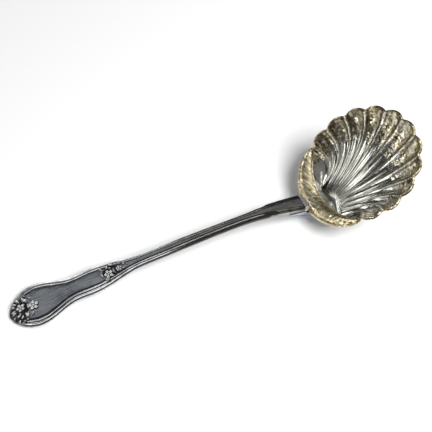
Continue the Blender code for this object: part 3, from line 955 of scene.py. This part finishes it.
def makeHandle():
    tipRings, endRings, stemRings = stem["rings"]
    endX, startX, firstRing = stem["endX"], stem["startX"], stem["firstRing"]
    stations = [endX * (1 - cos(pi / 2 * (i + firstRing) / tipRings)) for i in range(tipRings)]
    stations += [endX + (startX - endX) * i / endRings for i in range(endRings)]
    stations += [startX + (stem["length"] - startX) * i / stemRings for i in range(stemRings + 1)]
    loops = []
    for x in stations:
        right = halfSection(x)
        loops.append(right + [(-y, z, hollow) for y, z, hollow in reversed(right[1:-1])])
    around = len(loops[0])

    def place(column, row):
        y, z, hollow = loops[column][row % around]
        x = stations[column]
        panel = borderPlaces(x)[3][0]
        onPanel = abs(y) < panel
        if onPanel:  # painted shade: the far side of the panel is darker
            hollow = max(hollow, stemAgeAndShade["panelFarShade"] * ramp(y / panel, *stemAgeAndShade["panelFarShadeStart"]))
        hollow = max(hollow, stemAgeAndShade["tip"] * (1 - ramp(x, stem["tipReach"] / 2, stem["tipReach"])))
        warm = ramp(x, stem["shoulderX"], stemAgeAndShade["warmReach"])
        if not onPanel:
            warm = max(warm, stemAgeAndShade["borderWarmth"])
        heat = ramp(x, *stemAgeAndShade["heatStart"]) * ramp(y, *stemAgeAndShade["heatSide"])
        return Vector((tipX + x, y, z)), {"hollow": hollow, "warm": warm, "heat": heat}

    handle = sheetPiece("fiddleHandle", len(stations) - 1, around, place)
    mergePoints(handle)
    closeEnds(handle)
    handle.data.materials.append(agedSilver)
    finishPiece(handle, "handle", stem["smoothAngle"])


makeHandle()


# flower sprays: petals and leaves raised from a low mound, in millimetres from the handle's tip
# flowers are (x, y, radius, petals, turn), leaves (x, y, x, y, width, curl) and buds (x, y, radius)
tipSpray = {
    "node": "tip_spray",
    "mound": (3.9, 0.0, 5.4, 6.6),
    "flowers": [(9.7, -0.3, 2.1, 5, 0.25), (4.7, 0.8, 1.8, 5, 0.6)],
    "leaves": [
        (7.9, 1.9, 7.0, 4.3, 1.3, 0.3), (9.3, 2.3, 8.0, 4.1, 0.7, -0.4), (7.5, 1.5, 7.4, -0.9, 1.1, 0.2),
        (7.5, -1.9, 6.8, -4.3, 1.2, -0.4), (6.0, -1.9, 6.0, -4.2, 1.1, 0.3),
        (8.9, -2.5, 8.1, -4.2, 0.8, 0.3), (6.3, 2.6, 6.1, 5.2, 1.3, -0.3),
        (5.0, 3.0, 4.0, 5.5, 1.4, 0.3), (3.7, 2.7, 2.1, 4.1, 1.2, 0.3), (2.9, 1.5, 0.9, 2.4, 1.1, -0.3),
        (2.8, 0.4, 0.6, 0.5, 1.0, 0.3), (3.0, -0.5, 0.9, -1.4, 1.0, -0.3),
        (4.5, -1.2, 2.2, -2.9, 1.2, 0.3), (5.0, -2.4, 3.9, -4.0, 1.1, 0.2),
        (3.7, -4.2, 2.7, -5.5, 1.2, -0.2),
    ],
    "buds": [(6.1, -5.2, 0.70), (6.2, 1.6, 0.50), (1.5, -2.5, 0.60), (4.9, -5.4, 0.45), (7.4, 5.2, 0.45)],
}
shoulderSpray = {
    "node": "shoulder_spray",
    "mound": (41.4, -0.2, 4.6, 3.6),
    "flowers": [(40.3, -1.0, 1.9, 5, 0.5), (44.7, -0.5, 1.3, 5, 0.2)],
    "leaves": [
        (38.2, 3.6, 39.3, 1.2, 0.9, -0.8), (38.3, 1.3, 38.2, -2.1, 1.1, -0.5),
        (38.1, -2.5, 40.4, -3.2, 1.0, -0.3), (40.5, 3.1, 40.1, 1.2, 0.9, 0.2),
        (42.9, 1.0, 43.2, -2.1, 0.9, -0.5), (40.9, 3.0, 43.4, 2.0, 1.2, 0.2),
        (46.0, 0.5, 47.9, 0.6, 0.7, 0.2), (45.9, -1.0, 47.3, -0.9, 0.7, -0.2),
        (44.4, 1.9, 46.2, 1.2, 0.6, 0.2),
    ],
    "buds": [(41.4, 1.3, 0.55), (48.3, 0.0, 0.40), (41.9, -2.4, 0.50)],
}
raised = {
    "step": 0.08,
    "moundHeight": 0.12,
    "moundRound": 0.3,
    "flowerHeight": 1.05,
    "petalHeight": 0.95,
    "petalRound": 0.55,
    "petalCup": (0.82, 0.18),
    "petalPlace": 0.62,  # shares of the flower's radius
    "petalLength": 0.44,
    "petalWidth": 0.42,
    "eye": 0.3,
    "leafHeight": 0.75,
    "leafEnd": 0.02,
    "leafTaper": 0.7,
    "leafFall": 0.35,
    "leafRound": 0.5,
    "vein": 0.18,
    "veinWidth": 0.22,
    "buried": 0.55,
    "outside": -1.0,
    "groundDark": (0.18, 0.70),
    "edgeGap": 0.05,
    "edgeRows": 2,
    "blur": 6,
    "deep": 0.22,
    "smoothAngle": 80,
}


def domeOver(along, aside, height, roundness):
    # height of a dome over its own unit circle, and well below the metal outside it
    inside = np.clip(1 - along**2 - aside**2, 0.0, 1.0)
    return np.where(inside > 0, height * inside**roundness, raised["outside"])


def petalOver(xs, ys, x, y, length, width, turn, height):
    along = ((xs - x) * cos(turn) + (ys - y) * sin(turn)) / length
    aside = ((ys - y) * cos(turn) - (xs - x) * sin(turn)) / width
    middle, rim = raised["petalCup"]
    cupped = middle + rim * np.clip(along**2 + aside**2, 0, 1)
    return domeOver(along, aside, height, raised["petalRound"]) * cupped


def leafOver(xs, ys, x0, y0, x1, y1, width, curl):
    # pointed and bowed to one side, with a vein down its middle
    length = ((x1 - x0) ** 2 + (y1 - y0) ** 2) ** 0.5 / 2
    forwardX, forwardY = (x1 - x0) / (2 * length), (y1 - y0) / (2 * length)
    fromX, fromY = xs - (x0 + x1) / 2, ys - (y0 + y1) / 2
    along = (fromX * forwardX + fromY * forwardY) / length
    taper = np.clip(1 - along**2, raised["leafEnd"], 1.0)
    aside = (fromY * forwardX - fromX * forwardY - curl * taper) / (width / 2 * taper ** raised["leafTaper"])
    inside = np.clip(1 - aside**2, 0.0, 1.0)
    vein = raised["vein"] * np.exp(-(aside / raised["veinWidth"]) ** 2)
    blade = raised["leafHeight"] * taper ** raised["leafFall"] * (inside ** raised["leafRound"] - vein)
    return np.where((inside > 0) & (np.abs(along) < 1), blade, raised["outside"])


def reliefOver(design, xs, ys):
    x, y, reach, wide = design["mound"]
    mound = raised["moundHeight"] + raised["buried"]
    ups = domeOver((xs - x) / reach, (ys - y) / wide, mound, raised["moundRound"]) - raised["buried"]
    for x, y, radius, petals, turn in design["flowers"]:
        away, eye = raised["petalPlace"] * radius, raised["eye"] * radius
        long, wide = raised["petalLength"] * radius, raised["petalWidth"] * radius
        for i in range(petals):
            way = turn + 2 * pi * i / petals
            ups = np.maximum(ups, petalOver(xs, ys, x + away * cos(way), y + away * sin(way),
                                            long, wide, way, raised["petalHeight"]))
        ups = np.maximum(ups, petalOver(xs, ys, x, y, eye, eye, 0.0, raised["flowerHeight"]))
    for leaf in design["leaves"]:
        ups = np.maximum(ups, leafOver(xs, ys, *leaf))
    for x, y, radius in design["buds"]:
        ups = np.maximum(ups, petalOver(xs, ys, x, y, radius, radius, 0.0, raised["leafHeight"]))
    return np.maximum(ups, -raised["buried"])


def blurred(heights, reach):
    for axis in (0, 1):
        heights = sum(np.roll(heights, shift, axis) for shift in range(-reach, reach + 1)) / (2 * reach + 1)
    return heights


def makeSpray(name, design):
    low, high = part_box(design["node"])
    left, right, wide = (low.x - tipX) / millimetre, (high.x - tipX) / millimetre, high.y / millimetre
    columns, rows = int((right - left) / raised["step"]), int(2 * wide / raised["step"])
    along = left + (right - left) * np.arange(columns + 1) / columns
    reach = np.array([min(wide, halfWidth(x * millimetre) / millimetre - raised["edgeGap"]) for x in along])
    xs = np.repeat(along[:, None], rows + 1, axis=1)
    ys = np.outer(reach, 2 * np.arange(rows + 1) / rows - 1)
    ups = reliefOver(design, xs, ys)

    # dark on the ground and between the petals
    shown = np.maximum(ups, 0.0)
    blackBelow, brightAbove = raised["groundDark"]
    hollows = np.clip((blurred(shown, raised["blur"]) - shown) / raised["deep"], 0, 1)
    hollows = np.maximum(hollows, np.clip((brightAbove - ups) / (brightAbove - blackBelow), 0, 1))

    edgeRows = raised["edgeRows"]  # the spray's edge goes under the handle's surface
    for edge in (ups[:edgeRows], ups[-edgeRows:], ups[:, :edgeRows], ups[:, -edgeRows:]):
        edge[:] = -raised["buried"]

    def place(column, row):
        x, y = xs[column, row] * millimetre, ys[column, row] * millimetre
        point = Vector((tipX + x, y, handleSurface(x, y) + ups[column, row] * millimetre))
        return point, {"hollow": float(hollows[column, row])}

    spray = sheetPiece(name, columns, rows, place)
    mergePoints(spray)
    closeEnds(spray)
    spray.data.materials.append(struckSilver)
    finishPiece(spray, design["node"], raised["smoothAngle"])


makeSpray("tipFlowers", tipSpray)
makeSpray("shoulderFlowers", shoulderSpray)


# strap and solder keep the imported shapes, melted smooth; jobs end with the size of the melted grains
melted = {
    "jobs": [("heelStrap", "heel_strap", "aged_silver", agedSilver, 0.00020),
             ("heelSolder", "heel_solder", "silver_solder", solderSilver, 0.00012),
             ("strapSolder", "strap_solder", "silver_solder", solderSilver, 0.00014)],
    "smoothing": {"factor": 0.5, "iterations": 4},
    "smoothAngle": 60,
}


def makeMelted(name, nodeName, slotName, material, grain):
    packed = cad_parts[nodeName]
    piece = bpy.data.objects.new(name, packed.data.copy())
    bpy.context.scene.collection.objects.link(piece)
    piece.data.name = name
    piece.data.materials.clear()
    mergePoints(piece)
    applyModifier(piece, "REMESH", mode="VOXEL", voxel_size=grain)
    applyModifier(piece, "SMOOTH", **melted["smoothing"])
    piece.data.materials.append(material)
    finishPiece(piece, nodeName, melted["smoothAngle"])


for job in melted["jobs"]:
    makeMelted(*job)


# camera at the photograph's angle, looking down on the spoon from the handle's side
view = {
    "place": (0.01395, -0.17108, 0.27188),  # from the handle's tip
    "down": radians(53.5),
    "turn": radians(22.824),
    "focalPixels": 801.4,
    "framePixels": 432,
    "sensor": 36.0,
    "nearest": 0.005,
}


def makeCamera():
    data = bpy.data.cameras.new("viewCamera")
    data.sensor_width = view["sensor"]
    data.lens = view["focalPixels"] / view["framePixels"] * view["sensor"]
    data.clip_start = view["nearest"]
    camera = bpy.data.objects.new("viewCamera", data)
    camera.location = Vector(view["place"]) + Vector((tipX, 0, 0))
    camera.rotation_euler = (pi / 2 - view["down"], 0, -view["turn"])
    bpy.context.scene.collection.objects.link(camera)
    bpy.context.scene.camera = camera


makeCamera()


# pale floor and soft studio light
# lamps are (name, azimuth, elevation, width, height, glow, lit floor, mirrored)
studio = {
    "floorSize": 4.0,
    "floorDrop": 0.0002,
    "floorColour": (0.93, 0.93, 0.93, 1),
    "floorRoughness": 0.9,
    "floorGlow": 0.03,
    "horizonGrey": 0.05,
    "skyGrey": 0.22,
    "skyRange": (0.45, 0.90),
    "zenithGrey": 0.60,
    "zenithRange": (0.88, 1.0),
    "target": (0.03, 0.0, 0.01),
    "distance": 0.9,
    "lamps": [
        ("keyLamp", 8, 50, 40, 42, 1.6, False, True),
        ("floorLamp", -60, 55, 36, 30, 12.4, True, False),
        ("backLamp", 146, 36, 36, 14, 3.0, False, True),
        ("borderLamp", 97, 26, 26, 24, 3.4, False, True),
        ("leftLamp", 198, 43, 20, 11, 3.5, False, True),
        ("frontLamp", 264, 66, 60, 14, 2.6, False, True),
        ("smallLamp", 256, 42, 8, 7, 2.4, False, True),
        ("fillLamp", 262, 31, 60, 36, 0.18, False, True),
        ("lowLamp", 246, 4, 40, 6, 1.2, False, True),
        ("leftSpark", 206, 10, 44, 8, 3.6, False, True),
        ("backSpark", 150, 8, 40, 6, 3.6, False, True),
    ],
}


def makeFloor():
    clearSelection()
    bpy.ops.mesh.primitive_plane_add(size=studio["floorSize"], location=(0, 0, -studio["floorDrop"]))
    floor = bpy.context.object
    floor.name = "paleFloor"
    material = bpy.data.materials.new("paleFloor")
    material.use_nodes = True
    tree = material.node_tree
    shader = tree.nodes["Principled BSDF"]
    shader.inputs["Base Color"].default_value = studio["floorColour"]
    shader.inputs["Roughness"].default_value = studio["floorRoughness"]
    shader.inputs["Specular IOR Level"].default_value = 0.0
    rays = addNode(tree, "ShaderNodeLightPath").outputs
    seen = maths(tree, "ADD", rays["Is Camera Ray"], rays["Is Glossy Ray"])
    seen = maths(tree, "ADD", seen, rays["Is Transmission Ray"])
    shader.inputs["Emission Color"].default_value = (1, 1, 1, 1)
    tree.links.new(maths(tree, "MULTIPLY", seen, studio["floorGlow"]), shader.inputs["Emission Strength"])
    floor.data.materials.append(material)


def makeWorld():
    # a dim room with a pale ceiling, darker towards the horizon
    world = bpy.data.worlds.new("studio")
    world.use_nodes = True
    tree = world.node_tree
    where = addNode(tree, "ShaderNodeTexCoord")
    split = addNode(tree, "ShaderNodeSeparateXYZ")
    tree.links.new(where.outputs["Generated"], split.inputs[0])
    height, horizon = split.outputs["Z"], studio["horizonGrey"]
    sky = remap(tree, height, *studio["skyRange"], horizon, horizon + studio["skyGrey"])
    grey = maths(tree, "ADD", sky, remap(tree, height, *studio["zenithRange"], 0.0, studio["zenithGrey"]))
    tree.links.new(grey, tree.nodes["Background"].inputs["Color"])
    bpy.context.scene.world = world


def addLamp(name, azimuth, elevation, width, height, glow, onFloor, mirrored):
    azimuth, elevation = radians(azimuth), radians(elevation)
    away = Vector((cos(elevation) * cos(azimuth), cos(elevation) * sin(azimuth), sin(elevation)))
    data = bpy.data.lights.new(name, "AREA")
    data.shape = "RECTANGLE"
    data.size = 2 * studio["distance"] * tan(radians(width) / 2)
    data.size_y = 2 * studio["distance"] * tan(radians(height) / 2)
    data.energy = glow * pi * data.size * data.size_y
    lamp = bpy.data.objects.new(name, data)
    lamp.location = Vector(studio["target"]) + away * studio["distance"]
    lamp.rotation_euler = away.to_track_quat("Z", "Y").to_euler()
    lamp.visible_diffuse = onFloor
    lamp.visible_glossy = mirrored
    bpy.context.scene.collection.objects.link(lamp)


makeFloor()
makeWorld()
for lamp in studio["lamps"]:
    addLamp(*lamp)
bpy.context.scene.view_settings.view_transform = "Standard"
print("camera, floor and lights ready")
